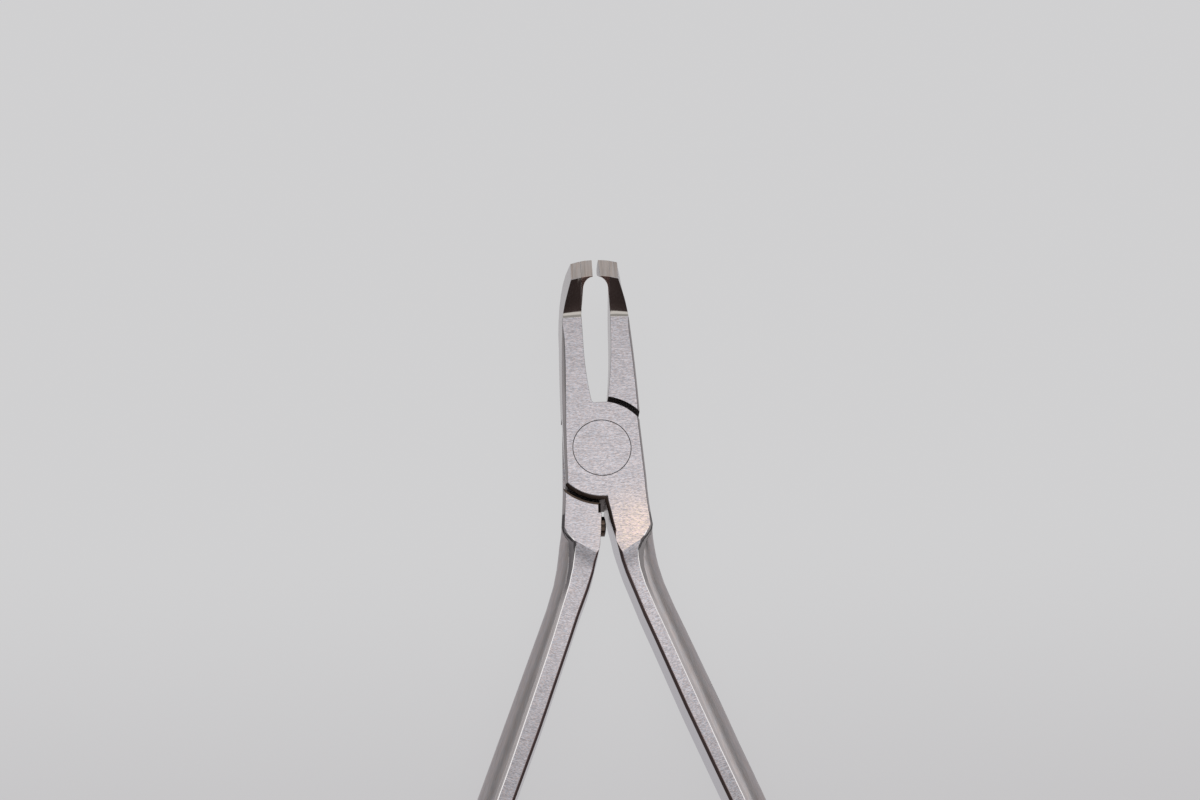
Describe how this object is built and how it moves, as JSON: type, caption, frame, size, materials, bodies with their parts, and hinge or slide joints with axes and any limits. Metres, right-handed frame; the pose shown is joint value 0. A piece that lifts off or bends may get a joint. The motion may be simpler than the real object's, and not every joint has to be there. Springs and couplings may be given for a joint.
{
  "type": "orthodontic pliers",
  "caption": "Orthodontic cutting pliers with a lap joint: bent tips with carbide cutting edges, a window between the jaws, a stop pin and bowed steel handles.",
  "frame": {"origin": "on the pivot's axis, in the plane of the back of the joint, which the pliers rest on", "axes": "+Y from the pivot to the tips, +Z the thickness, from the back to the front that the tips bend towards, +X to the right seen from the front"},
  "size_m": [0.0589, 0.1326, 0.0125],
  "materials": {
    "front_half_steel": "fine cross-brushed satin stainless steel, polished inside the bend",
    "back_half_steel": "fine cross-brushed satin stainless steel, polished inside the bend",
    "screw_steel": "ground flush with the joint and brushed with it",
    "pin_steel": "turned bright steel",
    "carbide": "ground tungsten carbide"
  },
  "bodies": {
    "back_body": {"back_half": "back_half_steel", "pivot_screw": "screw_steel", "stop_pin": "pin_steel", "right_carbide_insert": "carbide"},
    "front_body": {"front_half": "front_half_steel", "left_carbide_insert": "carbide"}
  },
  "joints": [
    {"name": "pivot", "type": "hinge", "parent": "back_body", "child": "front_body", "pos_m": [0, 0, 0], "axis": [0, 0, 1], "range_deg": [-1.85, 80]}
  ]
}
